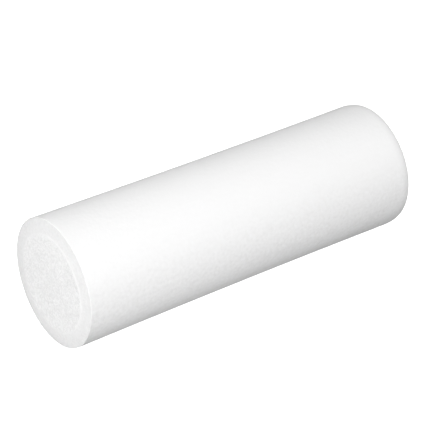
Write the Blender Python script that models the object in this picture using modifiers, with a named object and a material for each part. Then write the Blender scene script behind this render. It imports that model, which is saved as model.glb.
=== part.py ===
"""Foam roller: a lying bar of white expanded-polyethylene foam, 150 mm across and 450 mm long.

Frame: +X along the bar, +Z up, the origin on the floor under the middle of the bar.

The bar is four pieces, one inside the other: a foam core rod, the film of melt that welds it in,
a foam sleeve round it, and the sleeve's dense outer skin. The core's two cut ends are the flat
faces that the roller can stand on. Round the core the sleeve slopes back to the rim, and the
barrel is a little thinner at mid-length than at its ends.
"""

import math

import bpy

# Driving dimensions, in metres.
DIAMETER = 0.150  # over the ends of the barrel
LENGTH = 0.450  # between the core's two flat end faces
WAIST = 0.0012  # how much smaller the barrel's radius is at mid-length
CORE_DIAMETER = 0.1128
FILM_THICKNESS = 0.0010
FILM_RECESS = 0.0001  # the film's cut edge, behind the core's end face
SKIN_THICKNESS = 0.0010
RIM_SETBACK = 0.0012  # the rim, behind the core's end face
EDGE_LENGTH = 0.0080  # the barrel's edge is a quarter ellipse, this long
EDGE_DROP = 0.0020  # and this deep
GAP = 0.0003  # between neighbouring pieces

SIDES = 64  # flats round each piece, with one flat on the floor
EDGE_STEPS = 4  # straight stretches along each rounded edge
WAIST_STEPS = 6  # straight stretches along the waisted barrel

RADIUS = DIAMETER / 2
CORE_RADIUS = CORE_DIAMETER / 2
FILM_INNER = CORE_RADIUS + GAP
FILM_OUTER = FILM_INNER + FILM_THICKNESS
SLEEVE_INNER = FILM_OUTER + GAP
RIM_X = LENGTH / 2 - RIM_SETBACK  # the plane of each rim, from mid-length
EDGE_X = RIM_X - EDGE_LENGTH  # where the straight barrel turns into the rounded edge


def barrel_profile(inset):
    """(x, radius) points along the barrel's outline from rim to rim, moved inwards by inset."""
    points = []
    for step in range(EDGE_STEPS):
        turn = math.radians(90) * (1 - step / EDGE_STEPS)
        points.append((-EDGE_X - EDGE_LENGTH * math.sin(turn), edge_radius(turn)))
    for step in range(WAIST_STEPS + 1):
        x = EDGE_X * (2 * step / WAIST_STEPS - 1)
        points.append((x, RADIUS - WAIST * (1 - (x / EDGE_X) ** 2)))
    for step in range(1, EDGE_STEPS + 1):
        turn = math.radians(90) * step / EDGE_STEPS
        points.append((EDGE_X + EDGE_LENGTH * math.sin(turn), edge_radius(turn)))
    return [(x, radius - inset) for x, radius in points]


def edge_radius(turn):
    """The barrel's radius on a rounded edge, at an angle of 0 on the barrel to 90 degrees at the rim."""
    return RADIUS - EDGE_DROP * (1 - math.cos(turn))


def foam_material(name, shade, roughness):
    """A plain white plastic material, of one grey shade."""
    material = bpy.data.materials.new(name)
    material.use_nodes = True
    shader = material.node_tree.nodes["Principled BSDF"]
    shader.inputs["Base Color"].default_value = (shade, shade, shade, 1)
    shader.inputs["Roughness"].default_value = roughness
    shader.inputs["Metallic"].default_value = 0
    return material


def turned(name, profile, material, is_ring):
    """A body turned about the bar's axis from (x, radius) points that run along its outer side.

    A ring's profile closes on itself. Otherwise its first and last points are on the axis.
    """
    half_flat = math.pi / SIDES
    points = [(radius, radius * math.tan(half_flat), x) for x, radius in reversed(profile)]
    last = len(points) - 1
    edges = [(i, i + 1) for i in range(last)]
    if is_ring:
        edges.append((last, 0))
    outline = bpy.data.meshes.new(name + "_outline")
    outline.from_pydata(points, edges, [])
    guide = bpy.data.objects.new(name + "_outline", outline)
    bpy.context.scene.collection.objects.link(guide)
    screw = guide.modifiers.new("Turn", "SCREW")
    screw.axis = "Z"
    screw.angle = math.tau
    screw.steps = screw.render_steps = SIDES
    screw.use_merge_vertices = True
    screw.merge_threshold = 0.00001

    mesh = bpy.data.meshes.new_from_object(guide.evaluated_get(bpy.context.evaluated_depsgraph_get()))
    bpy.data.objects.remove(guide)
    mesh.name = name
    mesh.materials.append(material)
    mesh.shade_smooth()
    mesh.set_sharp_from_angle(angle=math.radians(30))
    body = bpy.data.objects.new(name, mesh)
    body.location = (0, 0, RADIUS)
    body.rotation_euler = (0, math.radians(90), 0)
    return body


def foam_core():
    """The solid rod in the middle, with its two flat cut ends."""
    half = LENGTH / 2
    profile = [(-half, 0), (-half, CORE_RADIUS), (half, CORE_RADIUS), (half, 0)]
    return turned("foam_core", profile, foam_material("core_foam", 0.88, 0.9), is_ring=False)


def weld_film():
    """The thin tube of melt between the core and the sleeve, seen as a fine ring at each end."""
    half = LENGTH / 2 - FILM_RECESS
    profile = [(-half, FILM_INNER), (-half, FILM_OUTER), (half, FILM_OUTER), (half, FILM_INNER)]
    return turned("weld_film", profile, foam_material("weld_film", 0.93, 0.45), is_ring=True)


def foam_sleeve():
    """The tube of foam round the core, whose ends slope back from the weld to the rim."""
    half = LENGTH / 2 - FILM_RECESS
    outer = barrel_profile(SKIN_THICKNESS + GAP)
    profile = [(-half, SLEEVE_INNER), *outer, (half, SLEEVE_INNER)]
    return turned("foam_sleeve", profile, foam_material("sleeve_foam", 0.9, 0.75), is_ring=True)


def outer_skin():
    """The dense closed skin on the barrel and its rounded edges."""
    inner = barrel_profile(SKIN_THICKNESS)
    profile = [*barrel_profile(0), *reversed(inner)]
    return turned("outer_skin", profile, foam_material("skin", 0.92, 0.5), is_ring=True)


def main():
    for obj in list(bpy.data.objects):
        bpy.data.objects.remove(obj)
    roller = bpy.data.collections.new("foam_roller")
    bpy.context.scene.collection.children.link(roller)
    for piece in (foam_core(), weld_film(), foam_sleeve(), outer_skin()):
        roller.objects.link(piece)


main()
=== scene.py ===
"""A white foam roller, lying on a plain white floor in soft studio light.

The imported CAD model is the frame. Four detailed pieces stand for its four nodes: the foam core with
its cut cells, the bead of the weld round it, the foam sleeve, and the dense skin of the barrel.
All lengths are in metres, with the bar along X and the floor at Z = 0.
"""

import math

import bpy
import numpy as np
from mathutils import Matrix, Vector


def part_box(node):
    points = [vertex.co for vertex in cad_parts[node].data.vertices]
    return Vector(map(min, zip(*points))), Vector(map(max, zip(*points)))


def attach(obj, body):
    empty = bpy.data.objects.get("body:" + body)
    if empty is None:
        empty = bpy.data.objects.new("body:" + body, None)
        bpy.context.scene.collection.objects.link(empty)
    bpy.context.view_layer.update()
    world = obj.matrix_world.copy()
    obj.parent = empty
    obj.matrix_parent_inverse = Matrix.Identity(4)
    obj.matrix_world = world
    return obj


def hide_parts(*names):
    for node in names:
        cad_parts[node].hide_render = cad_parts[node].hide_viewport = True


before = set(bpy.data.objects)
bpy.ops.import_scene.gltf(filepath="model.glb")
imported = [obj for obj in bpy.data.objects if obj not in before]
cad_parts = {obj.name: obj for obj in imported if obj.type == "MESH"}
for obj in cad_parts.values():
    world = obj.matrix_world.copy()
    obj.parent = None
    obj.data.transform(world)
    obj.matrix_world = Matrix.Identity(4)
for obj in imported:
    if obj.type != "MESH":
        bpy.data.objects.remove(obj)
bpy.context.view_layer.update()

# --- Sizes read from the CAD model ---
core_lo, core_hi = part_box("foam_core")
weld_lo, weld_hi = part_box("weld_film")
skin_lo, skin_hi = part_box("outer_skin")
AXIS_Z = (core_lo.z + core_hi.z) / 2
CORE_R = (core_hi.z - core_lo.z) / 2
WELD_R = (weld_hi.z - weld_lo.z) / 2
BARREL_R = (skin_hi.z - skin_lo.z) / 2
HALF = core_hi.x  # half of the length, to the core's cut faces
RIM = skin_hi.x - 0.0008  # the rims, from mid-length

# --- The finer shape ---
WAIST = 0.0012  # how much smaller the barrel's radius is at mid-length
NEAR_EDGE = (0.0006, 0.0003)  # how long each rounded edge of the barrel is, and how deep
FAR_EDGE = (0.0120, 0.0028)
SKIN = 0.0010  # the skin's thickness
LIP = 0.0002  # and its thickness at the rims
LEAN = Vector((0, -0.0080, 0.0200))  # the near cut isn't quite square: its set-back per metre of y and z
SHARP = math.radians(50)  # faces that meet at more than this are shaded with a sharp edge
SEED = 7

# --- The foam's cells ---
CELL = 0.0023  # across a cell of the core
SMALL_CELL = 0.0012
SLEEVE_CELL = 0.0021
CELL_DEPTH = 0.00026
SMALL_CELL_DEPTH = 0.00008
SLEEVE_CELL_DEPTH = 0.00008

# --- How fine the meshes are ---
CORE_STEPS = 212  # squares across each cut face of the core
WELD_SIDES, WELD_ROWS = 720, 9
SLEEVE_SIDES, SLEEVE_END_ROWS, SLEEVE_TUBE_ROWS = 840, 32, 41
SKIN_SIDES, SKIN_ROWS, SKIN_BACK_ROWS = 380, 222, 9
NEAR_EDGE_ROWS, FAR_EDGE_ROWS = 9, 15

# --- The camera ---
CAMERA_AZIMUTH, CAMERA_ELEVATION = -36.173, 31.067  # degrees
CAMERA_DISTANCE = 2.2565
CAMERA_LENS = 165.6  # millimetres, on a sensor 36 mm wide


# --- Shapes in numbers ---
def smoothstep(low, high, value):
    t = np.clip((value - low) / (high - low), 0, 1)
    return t * t * (3 - 2 * t)


def angles(sides):
    """The angle of each side of a ring, in radians."""
    return np.arange(sides) * math.tau / sides


def ripples(rng, around, along, count, around_range, along_range):
    """A sum of count random waves over a barrel, about 1 high. around is in radians, along in metres."""
    total = np.zeros(np.broadcast(around, along).shape)
    for _ in range(count):
        turns = rng.integers(*around_range)
        pitch = rng.uniform(*along_range) * rng.choice([-1, 1])
        total += np.cos(turns * around + math.tau * along * pitch + rng.uniform(0, math.tau))
    return total / math.sqrt(count / 2)


def cells(rng, u, v, size):
    """Voronoi cells over a plane: each point's distance to the nearest wall, and its cell's own number.

    The distance is in cell sizes, from 0 at a wall to about 0.5 in the middle. The number is from 0 to 1.
    """
    span = int(max(np.abs(u).max(), np.abs(v).max()) / size) + 4
    side = 2 * span + 1
    jitter = rng.uniform(0.08, 0.92, (side, side, 2))
    shade = rng.uniform(0, 1, (side, side))
    gu, gv = u / size, v / size
    iu, iv = np.floor(gu).astype(int), np.floor(gv).astype(int)
    first = np.full(u.shape, 9.0)  # farther than any cell's middle
    second = np.full(u.shape, 9.0)
    own = np.zeros(u.shape)
    for du in range(-2, 3):
        for dv in range(-2, 3):
            ju, jv = iu + du, iv + dv
            spot = jitter[ju + span, jv + span]
            away = np.hypot(ju + spot[..., 0] - gu, jv + spot[..., 1] - gv)
            nearer = away < first
            second = np.where(nearer, first, np.minimum(second, away))
            own = np.where(nearer, shade[ju + span, jv + span], own)
            first = np.minimum(first, away)
    return (second - first) / 2, own


def barrel_radius(x):
    """The smooth barrel's radius at x, with its two rounded edges and its waist."""
    drop = 0.0
    for from_rim, (length, depth) in ((RIM + x, NEAR_EDGE), (RIM - x, FAR_EDGE)):
        t = 1 - np.clip(from_rim / length, 0, 1)
        drop = drop + depth * (1 - np.sqrt(1 - t * t))
    return BARREL_R - drop - WAIST * (1 - (x / RIM) ** 2)


# --- Meshes ---
def leaning(points):
    """The points, moved along the bar so that the near cut leans. The move fades out along the bar."""
    points = np.array(points)
    near = np.clip(-points[:, 0] / HALF, 0, 1) ** 4
    points[:, 0] += near * (LEAN.y * points[:, 1] + LEAN.z * (points[:, 2] - AXIS_Z))
    return points.tolist()


def mesh_object(name, points, faces):
    mesh = bpy.data.meshes.new(name)
    mesh.from_pydata(points, [], faces)
    mesh.update()
    mesh.shade_smooth()
    mesh.set_sharp_from_angle(angle=SHARP)
    obj = bpy.data.objects.new(name, mesh)
    bpy.context.scene.collection.objects.link(obj)
    return obj


def turned(name, rings):
    """A closed body from rings of points about the bar's axis.

    A ring is an (x, radius) pair of arrays, with a number for each side. The last ring joins the first.
    """
    x = np.stack([ring[0] for ring in rings])
    radius = np.stack([ring[1] for ring in rings])
    count, sides = radius.shape
    around = angles(sides)
    points = np.stack([x, radius * np.cos(around), AXIS_Z + radius * np.sin(around)], -1).reshape(-1, 3)

    start = np.arange(count)[:, None] * sides
    after = (start + sides) % (count * sides)
    here = np.arange(sides)[None]
    there = (here + 1) % sides
    quads = np.stack([start + here, after + here, after + there, start + there], -1).reshape(-1, 4)
    return mesh_object(name, leaning(points), quads.tolist())


def disc_grid(steps):
    """A square grid bent into a disc of radius 1: its points' u and v, its quads and its border."""
    t = np.linspace(-1, 1, steps + 1)
    a, b = np.meshgrid(t, t, indexing="ij")
    wide = np.abs(a) > np.abs(b)
    reach = np.where(wide, a, b)
    share = np.where(wide, b, a) / np.where(reach == 0, 1, reach) * math.pi / 4
    u = np.where(wide, reach * np.cos(share), reach * np.sin(share))
    v = np.where(wide, reach * np.sin(share), reach * np.cos(share))
    index = np.arange((steps + 1) ** 2).reshape(steps + 1, steps + 1)
    quads = np.stack([index[:-1, :-1], index[1:, :-1], index[1:, 1:], index[:-1, 1:]], -1).reshape(-1, 4)
    border = np.concatenate([index[:-1, 0], index[-1, :-1], index[:0:-1, -1], index[0, :0:-1]])
    return u.ravel(), v.ravel(), quads, border


def core():
    """The core rod. Its two cut faces are a skin of opened cells."""
    rng = np.random.default_rng(SEED)
    u, v, quads, border = disc_grid(CORE_STEPS)
    y, z = u * CORE_R, v * CORE_R
    far_out = np.hypot(u, v)
    points, faces, borders = [], [], []
    for end in (-1, 1):
        wall, own = cells(rng, y, z, CELL)
        small_wall, small_own = cells(rng, y, z, SMALL_CELL)
        depth = CELL_DEPTH * smoothstep(0.02, 0.38, wall) * (0.35 + own)
        depth += SMALL_CELL_DEPTH * smoothstep(0.02, 0.38, small_wall) * (0.3 + small_own)
        # The cut is a little uneven, and dips where it meets the weld.
        swell = ripples(rng, np.arctan2(v, u), far_out * 0.5, 9, (1, 6), (0.5, 2.5))
        depth += 0.00010 + 0.00008 * swell * far_out
        depth += 0.00015 * smoothstep(0.980, 1.0, far_out)
        x = end * (HALF - np.clip(depth, 0, None))
        first = len(points) * len(u)
        points.append(np.stack([x, y, z + AXIS_Z], -1))
        faces += (quads[:, ::-1] + first if end > 0 else quads + first).tolist()
        borders.append(border + first)

    near, far = borders
    for i in range(len(border)):
        j = (i + 1) % len(border)
        faces.append((near[j], near[i], far[i], far[j]))
    return mesh_object("core_rod", leaning(np.concatenate(points)), faces)


def weld():
    """The film of melt between core and sleeve. It swells into a low bead where it reaches each end."""
    rng = np.random.default_rng(SEED + 1)
    around = angles(WELD_SIDES)
    inner, outer = CORE_R - 0.0002, WELD_R + 0.0002  # it runs a little way under its neighbours
    ends = []
    for end in (-1, 1):
        swell = ripples(rng, around, 0.0, 14, (5, 60), (0, 1))
        rows = []
        for t in np.linspace(0, 1, WELD_ROWS):
            sunk = 0.00008 + 0.00030 * t**2 - 0.00003 * swell * math.sin(math.pi * t)
            rows.append((end * (HALF - sunk), np.full(WELD_SIDES, inner + t * (outer - inner))))
        ends.append(rows)
    near, far = ends
    return turned("weld_bead", near + far[::-1])


def sleeve():
    """The foam sleeve. Its ends sag back from the weld to the lip of the skin, smoothed by heat."""
    rng = np.random.default_rng(SEED + 2)
    around = angles(SLEEVE_SIDES)
    t = np.linspace(0, 1, SLEEVE_END_ROWS)[:, None]  # from the weld to the rim
    ends = []
    for end in (-1, 1):
        outer = barrel_radius(end * RIM) - 0.0003
        radius = WELD_R - 0.0001 + (outer - WELD_R) * t + 0 * around
        wall, own = cells(rng, radius * np.cos(around), radius * np.sin(around), SLEEVE_CELL)
        # A step down beside the weld, a steady slope, and a rounding towards the rim.
        sag = 0.00030 + 0.00025 * (1 - np.exp(-t / 0.07)) + 0.00100 * t
        sag = sag + 0.0010 * (np.clip(t - 0.4, 0, 1) / 0.6) ** 2
        sag = sag + 0.0001 * ripples(rng, around, radius, 12, (1, 14), (5, 60)) * np.sin(math.pi * t)
        sag += SLEEVE_CELL_DEPTH * smoothstep(0.03, 0.4, wall) * (0.2 + own)
        ends.append(list(zip(end * (HALF - sag), radius)))

    tube = []
    for x in np.linspace(-RIM + 0.0012, RIM - 0.0012, SLEEVE_TUBE_ROWS):
        tube.append((np.full(SLEEVE_SIDES, x), np.full(SLEEVE_SIDES, barrel_radius(x) - SKIN - 0.0001)))
    near, far = ends
    return turned("sleeve_tube", near + tube + far[::-1])


def skin():
    """The barrel's skin, with its rounded edges, the lip at each end and the slight waist."""
    rng = np.random.default_rng(SEED + 3)
    around = angles(SKIN_SIDES)
    near = -RIM + NEAR_EDGE[0] * (1 - np.cos(np.linspace(0, math.pi / 2, NEAR_EDGE_ROWS)))
    far = RIM - FAR_EDGE[0] * (1 - np.cos(np.linspace(math.pi / 2, 0, FAR_EDGE_ROWS)))
    x = np.concatenate([near, np.linspace(near[-1], far[0], SKIN_ROWS)[1:-1], far])[:, None]

    calm = smoothstep(0, 0.006, RIM - np.abs(x))  # 0 at the rims, so that they stay even
    streaks = ripples(rng, around, x, 40, (12, 110), (0.2, 2.5))
    dents = ripples(rng, around, x, 50, (6, 60), (10, 60))
    pimples = ripples(rng, around, x, 120, (35, 110), (40, 180))
    radius = barrel_radius(x) + calm * (0.000014 * streaks + 0.000020 * dents + 0.000010 * pimples)
    ragged = ripples(rng, around, 0.0, 20, (3, 70), (0, 1)) * (1 - calm)
    rings = list(zip(x - 0.00008 * ragged * np.sign(x), radius))

    # The skin's back follows its outside, from the far rim to the near one.
    back = [RIM - 0.0002, RIM - 0.0010, *np.linspace(RIM - 0.004, -RIM + 0.004, SKIN_BACK_ROWS)]
    back += [-RIM + 0.0010, -RIM + 0.0002]
    for spot in back:
        thickness = LIP if abs(spot) > RIM - 0.0005 else SKIN
        rings.append((np.full(SKIN_SIDES, spot), np.full(SKIN_SIDES, barrel_radius(spot) - thickness)))
    return turned("barrel_skin", rings)


# --- Materials ---
class Nodes:
    """A material's node tree, with a short way to add and link nodes. Scales are per metre."""

    def __init__(self, name, roughness):
        self.material = bpy.data.materials.new(name)
        self.material.use_nodes = True
        self.tree = self.material.node_tree
        self.shader = self.tree.nodes["Principled BSDF"]
        self.shader.inputs["Roughness"].default_value = roughness
        self.shader.inputs["Metallic"].default_value = 0
        self.where = self.tree.nodes.new("ShaderNodeTexCoord").outputs["Object"]

    def feed(self, socket, value):
        """Links another node's output to an input, or sets the input to a plain value."""
        if isinstance(value, bpy.types.NodeSocket):
            self.tree.links.new(value, socket)
        else:
            socket.default_value = value

    def add(self, kind, **values):
        """A new node. Each value goes to the input of that name, or to the node's own setting."""
        node = self.tree.nodes.new(kind)
        for key, value in values.items():
            if key in node.inputs:
                self.feed(node.inputs[key], value)
            else:
                setattr(node, key, value)
        return node

    def moved(self, location=(0, 0, 0), scale=(1, 1, 1)):
        node = self.add("ShaderNodeMapping", Vector=self.where, Location=location, Scale=scale)
        return node.outputs["Vector"]

    def noise(self, scale, detail=3.0, where=None):
        where = where or self.where
        return self.add("ShaderNodeTexNoise", Vector=where, Scale=scale, Detail=detail).outputs["Fac"]

    def voronoi(self, scale, feature="F1"):
        node = self.add("ShaderNodeTexVoronoi", feature=feature, Vector=self.where, Scale=scale)
        return node.outputs["Distance"]

    def cell_shade(self, scale):
        """One random grey for each Voronoi cell."""
        node = self.add("ShaderNodeTexVoronoi", Vector=self.where, Scale=scale)
        return self.add("ShaderNodeSeparateColor", Color=node.outputs["Color"]).outputs["Red"]

    def ramp(self, value, stops):
        """Greys from (position, shade) pairs."""
        node = self.add("ShaderNodeValToRGB", Fac=value)
        elements = node.color_ramp.elements
        while len(elements) < len(stops):
            elements.new(0.5)
        for element, (position, shade) in zip(elements, stops):
            element.position = position
            element.color = (shade, shade, shade, 1)
        return node.outputs["Color"]

    def remap(self, value, from_range, to_range=(0, 1)):
        node = self.add("ShaderNodeMapRange", Value=value)
        node.inputs["From Min"].default_value, node.inputs["From Max"].default_value = from_range
        node.inputs["To Min"].default_value, node.inputs["To Max"].default_value = to_range
        return node.outputs["Result"]

    def calculate(self, operation, a, b):
        node = self.add("ShaderNodeMath", operation=operation)
        self.feed(node.inputs[0], a)
        self.feed(node.inputs[1], b)
        return node.outputs["Value"]

    def product(self, first, *others):
        """Colours multiplied together."""
        result = first
        for other in others:
            node = self.add("ShaderNodeMix", data_type="RGBA", blend_type="MULTIPLY")
            node.inputs["Factor"].default_value = 1
            self.feed(node.inputs["A"], result)
            self.feed(node.inputs["B"], other)
            result = node.outputs["Result"]
        return result

    def finish(self, colour, roughness=None, bumps=()):
        """Links the colour, the roughness and the bumps, which are (height, depth in metres) pairs."""
        self.feed(self.shader.inputs["Base Color"], colour)
        if roughness:
            self.feed(self.shader.inputs["Roughness"], roughness)
        normal = None
        for height, depth in bumps:
            node = self.add("ShaderNodeBump", Height=height, Distance=depth, Strength=1.0)
            if normal:
                self.feed(node.inputs["Normal"], normal)
            normal = node.outputs["Normal"]
        if normal:
            self.feed(self.shader.inputs["Normal"], normal)
        return self.material


def cut_foam():
    """Foam cut open: thin bright cell walls round hollows darkened with painted shade, and no two cells
    alike.
    """
    n = Nodes("cut_foam", 0.9)
    walls = n.voronoi(520, "DISTANCE_TO_EDGE")
    small = n.voronoi(1150)
    # Painted shade: each cell, large and small, is darker towards its hollow middle than at its walls.
    painted_hollow_shade = n.ramp(walls, [(0.0, 1.0), (0.12, 0.95), (0.5, 0.91)])
    cell_shade = n.ramp(n.cell_shade(430), [(0.0, 0.90), (1.0, 1.0)])
    painted_small_hollow_shade = n.ramp(small, [(0.0, 0.95), (0.8, 1.0)])
    patches = n.ramp(n.noise(60, 4), [(0.3, 0.98), (0.7, 1.0)])
    colour = n.product(painted_hollow_shade, cell_shade, painted_small_hollow_shade, patches)
    roughness = n.ramp(n.noise(900, 2), [(0.3, 0.82), (0.7, 0.98)])
    return n.finish(colour, roughness, [(walls, 0.0007), (small, 0.0003)])


def melted_film():
    """Foam melted solid: denser, smoother and a little glossier."""
    n = Nodes("melted_film", 0.5)
    colour = n.ramp(n.noise(120, 4), [(0.3, 0.86), (0.7, 0.90)])
    roughness = n.ramp(n.noise(500, 2), [(0.3, 0.42), (0.7, 0.6)])
    return n.finish(colour, roughness, [(n.noise(700, 2), 0.0001)])


def smoothed_foam():
    """Foam smoothed by heat, with its cells only just showing, painted shade in its dimples, and painted
    shade that darkens it towards the rim.
    """
    n = Nodes("smoothed_foam", 0.75)
    dimples = n.voronoi(520, "SMOOTH_F1")
    # Painted shade: each dimple is darker in its middle.
    painted_dimple_shade = n.ramp(dimples, [(0.0, 0.965), (0.6, 1.0)])
    cell_shade = n.ramp(n.cell_shade(400), [(0.0, 0.955), (1.0, 1.0)])
    patches = n.ramp(n.noise(90, 4), [(0.3, 0.98), (0.7, 1.0)])

    # Painted shade: the sleeve's end darkens from the weld towards the rim, by its distance from the
    # axis.
    from_axis = n.add("ShaderNodeVectorMath", operation="LENGTH")
    n.feed(from_axis.inputs[0], n.moved(location=(0, 0, -AXIS_Z), scale=(0, 1, 1)))
    outwards = n.remap(from_axis.outputs["Value"], (WELD_R, BARREL_R))
    stops = [(0.0, 0.895), (0.12, 0.872), (0.3, 0.857), (0.6, 0.843), (0.82, 0.829), (1.0, 0.806)]
    painted_rim_shade = n.ramp(outwards, stops)

    roughness = n.ramp(n.noise(600, 2), [(0.3, 0.66), (0.7, 0.84)])
    bumps = [(dimples, 0.00025), (n.noise(1400, 2), 0.00006)]
    return n.finish(n.product(painted_dimple_shade, cell_shade, painted_rim_shade, patches), roughness, bumps)


def dense_skin():
    """The ironed skin: fine shallow dimples, faint streaks along the bar, and its own mottled grain,
    which grows stronger lower down as painted shade.
    """
    n = Nodes("dense_skin", 0.55)
    dimples = n.voronoi(270, "SMOOTH_F1")
    streaks = n.noise(1.0, 3, n.moved(scale=(14, 260, 260)))
    height = n.add("ShaderNodeSeparateXYZ", Vector=n.where).outputs["Z"]
    # Painted shade: the grain's contrast grows from the top of the barrel down to its lower side, where
    # the skin is in shade.
    painted_shade_contrast = n.remap(height, (0.125, 0.065), (0.012, 0.25))
    grain = n.calculate("SUBTRACT", n.noise(230, 3), 0.5)
    mottle = n.calculate("ADD", n.calculate("MULTIPLY", grain, painted_shade_contrast), 0.952)
    colour = n.product(mottle, n.ramp(streaks, [(0.3, 0.992), (0.7, 1.0)]))
    roughness = n.ramp(n.noise(420, 3), [(0.3, 0.46), (0.7, 0.64)])
    return n.finish(colour, roughness, [(dimples, 0.00013), (streaks, 0.00008)])


def place(piece, node, material):
    piece.data.materials.append(material)
    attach(piece, "root")
    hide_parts(node)


# --- Stage ---
def floor():
    """A large matte white floor, lit from within so that it stays white under the bar."""
    reach = 12
    corners = [(-reach, -reach, 0), (reach, -reach, 0), (reach, reach, 0), (-reach, reach, 0)]
    obj = mesh_object("floor", corners, [(0, 1, 2, 3)])
    n = Nodes("floor_white", 0.9)
    n.shader.inputs["Emission Color"].default_value = (1, 1, 1, 1)
    n.shader.inputs["Emission Strength"].default_value = 1.0
    obj.data.materials.append(n.finish(n.ramp(n.noise(3, 2), [(0.3, 0.9), (0.7, 0.92)])))
    obj.visible_diffuse = obj.visible_glossy = obj.visible_shadow = False


def direction(azimuth, elevation):
    """The way from the bar to something at these angles, in degrees. Azimuth 0 is at -Y, and 90 at +X."""
    a, e = math.radians(azimuth), math.radians(elevation)
    return Vector((math.sin(a) * math.cos(e), -math.cos(a) * math.cos(e), math.sin(e)))


def softbox(name, azimuth, elevation, watts, distance=1.6, size=1.2, aim=0.0):
    """A square soft light that faces the bar, aim metres along it from the middle."""
    towards = direction(azimuth, elevation)
    lamp = bpy.data.lights.new(name, "AREA")
    lamp.shape = "SQUARE"
    lamp.size = size
    lamp.energy = watts
    obj = bpy.data.objects.new(name, lamp)
    obj.location = Vector((aim, 0, AXIS_Z)) + towards * distance
    obj.rotation_mode = "QUATERNION"
    obj.rotation_quaternion = towards.to_track_quat("Z", "Y")
    obj.visible_camera = False
    bpy.context.scene.collection.objects.link(obj)


def lights():
    """Soft light from the near end and from in front, with fainter light from everywhere else."""
    softbox("left_low", -70, 0, 15.4)
    softbox("left", -100, 20, 8.6)
    softbox("near_front", -25, 50, 2.1, distance=1.0, size=0.8, aim=-0.15)
    softbox("front_low", -10, 8, 8.3)
    softbox("front_right_low", 20, 20, 2.7)
    softbox("front_right", 40, 40, 7.2)
    softbox("above", 0, 90, 6.3)
    softbox("behind", 180, 45, 8.4)
    # These two stand in for the light that a real floor would send back up.
    softbox("bounce_front", 0, -60, 4.1)
    softbox("bounce_behind", 180, -36, 6.0)
    # This one lights the end that the camera doesn't see.
    softbox("far_end", 110, -15, 36.0, distance=2.5, size=0.8)


def backdrop():
    """A white surround that the camera sees, and that adds no light to the bar."""
    sky = bpy.data.worlds.new("studio")
    sky.use_nodes = True
    sky.node_tree.nodes["Background"].inputs["Color"].default_value = (1, 1, 1, 1)
    bpy.context.scene.world = sky
    sky.cycles_visibility.diffuse = sky.cycles_visibility.glossy = False


def camera():
    """The camera looks along the bar from its near end, from the left and above."""
    back = direction(CAMERA_AZIMUTH, CAMERA_ELEVATION)
    right = Vector((0, 0, 1)).cross(back).normalized()
    up = back.cross(right)
    data = bpy.data.cameras.new("camera")
    data.sensor_width = 36
    data.lens = CAMERA_LENS
    obj = bpy.data.objects.new("camera", data)
    obj.location = Vector((0, 0, AXIS_Z)) + back * CAMERA_DISTANCE - right * 0.00435 + up * 0.00604
    obj.rotation_mode = "QUATERNION"
    obj.rotation_quaternion = (-back).to_track_quat("-Z", "Y")
    bpy.context.scene.collection.objects.link(obj)
    bpy.context.scene.camera = obj


camera()
place(core(), "foam_core", cut_foam())
place(weld(), "weld_film", melted_film())
place(sleeve(), "foam_sleeve", smoothed_foam())
place(skin(), "outer_skin", dense_skin())
floor()
lights()
backdrop()
bpy.context.scene.view_settings.view_transform = "Standard"
